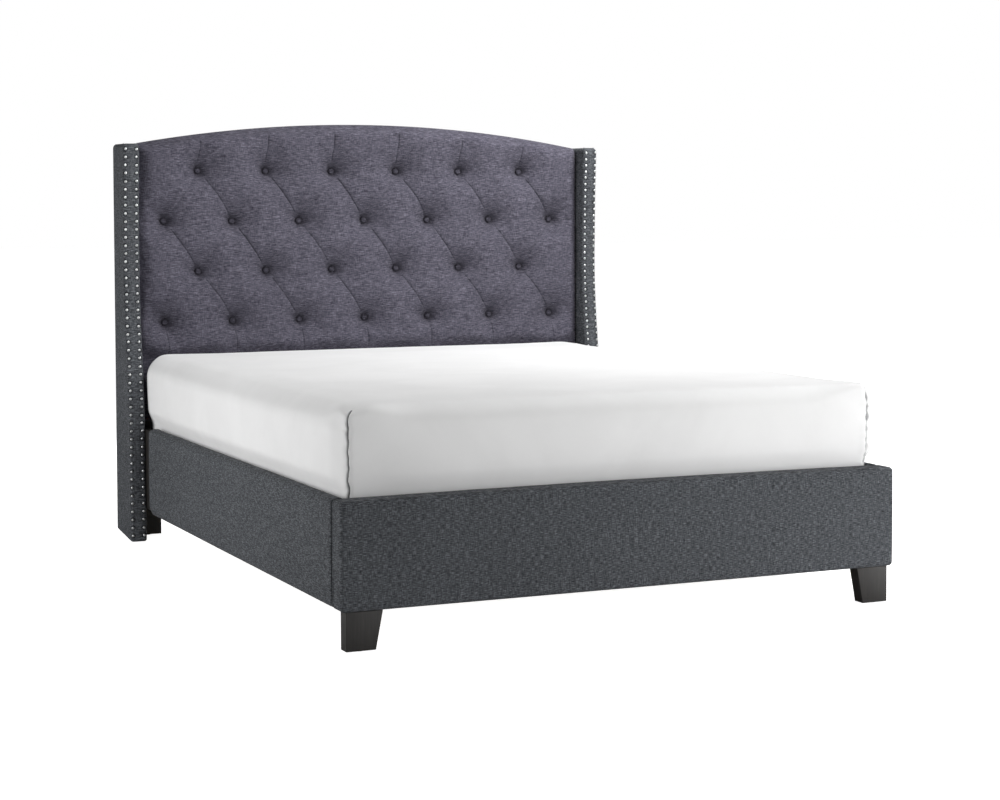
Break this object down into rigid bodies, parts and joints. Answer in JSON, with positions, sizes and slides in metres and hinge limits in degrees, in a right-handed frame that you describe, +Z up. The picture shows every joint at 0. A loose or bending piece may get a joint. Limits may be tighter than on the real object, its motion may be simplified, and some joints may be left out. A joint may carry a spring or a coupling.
{
  "type": "upholstered bed",
  "caption": "Upholstered bed with an arched button-tufted headboard, nail-trimmed wings, padded rails and footboard, slatted base, mattress and fitted sheet.",
  "frame": {"origin": "on the floor under the middle of the bed's overall box", "axes": "+Z up, +Y from the footboard to the headboard, +X to the right of someone standing at the foot end"},
  "size_m": [1.706, 2.208, 1.384],
  "materials": {
    "tufted_fabric": "linen-look weave, matte",
    "trim_fabric": "linen-look weave, matte",
    "sheet_fabric": "smooth cotton, matte",
    "mattress_fabric": "knitted ticking, matte",
    "back_cloth": "non-woven dust cloth, matte",
    "pine": "planed, unfinished",
    "plywood": "sanded, unfinished",
    "slat_wood": "planed, unfinished",
    "dark_wood": "black-brown stain, satin",
    "nail_steel": "polished nickel look",
    "zinc_steel": "zinc plated",
    "black_steel": "black powder coat, satin",
    "black_plastic": "moulded, matte"
  },
  "bodies": {
    "bed_frame": {"tufted_pad": "tufted_fabric", "tuft_buttons": "tufted_fabric", "wing_cover_left": "trim_fabric", "wing_cover_right": "trim_fabric", "rail_cover_left": "trim_fabric", "rail_cover_right": "trim_fabric", "footboard_cover": "trim_fabric", "back_panel": "back_cloth", "headboard_top_rail": "pine", "headboard_middle_rail": "pine", "headboard_lower_rail": "pine", "wing_core_left": "pine", "wing_core_right": "pine", "slat_ledge_left": "pine", "slat_ledge_right": "pine", "footboard_core": "pine", "centre_beam": "pine", "backing_board": "plywood", "slat_1": "slat_wood", "slat_2": "slat_wood", "slat_3": "slat_wood", "slat_4": "slat_wood", "slat_5": "slat_wood", "slat_6": "slat_wood", "slat_7": "slat_wood", "slat_8": "slat_wood", "slat_9": "slat_wood", "slat_10": "slat_wood", "slat_11": "slat_wood", "slat_12": "slat_wood", "slat_13": "slat_wood", "headboard_post_left": "dark_wood", "headboard_post_right": "dark_wood", "rail_board_left": "dark_wood", "rail_board_right": "dark_wood", "front_leg_left": "dark_wood", "front_leg_right": "dark_wood", "centre_leg_front": "dark_wood", "centre_leg_back": "dark_wood", "nailheads_left": "nail_steel", "nailheads_right": "nail_steel", "button_washers": "zinc_steel", "ledge_screws": "zinc_steel", "slat_screws": "zinc_steel", "bracket_bolts": "zinc_steel", "leg_bolts": "zinc_steel", "wing_bolts": "zinc_steel", "foot_bracket_left": "black_steel", "foot_bracket_right": "black_steel", "head_bracket_left": "black_steel", "head_bracket_right": "black_steel", "beam_hanger_foot": "black_steel", "beam_hanger_head": "black_steel", "leg_glides": "black_plastic"},
    "mattress": {"mattress": "mattress_fabric", "fitted_sheet": "sheet_fabric"},
    "levelling_foot_front": {"levelling_foot_front": "black_plastic"},
    "levelling_foot_back": {"levelling_foot_back": "black_plastic"}
  },
  "joints": [
    {"name": "mattress_lift", "type": "slide", "parent": "bed_frame", "child": "mattress", "axis": [0, 0, 1], "range_m": [0, 0.35]},
    {"name": "levelling_front", "type": "slide", "parent": "bed_frame", "child": "levelling_foot_front", "axis": [0, 0, 1], "range_m": [0, 0.015]},
    {"name": "levelling_back", "type": "slide", "parent": "bed_frame", "child": "levelling_foot_back", "axis": [0, 0, 1], "range_m": [0, 0.015]}
  ]
}
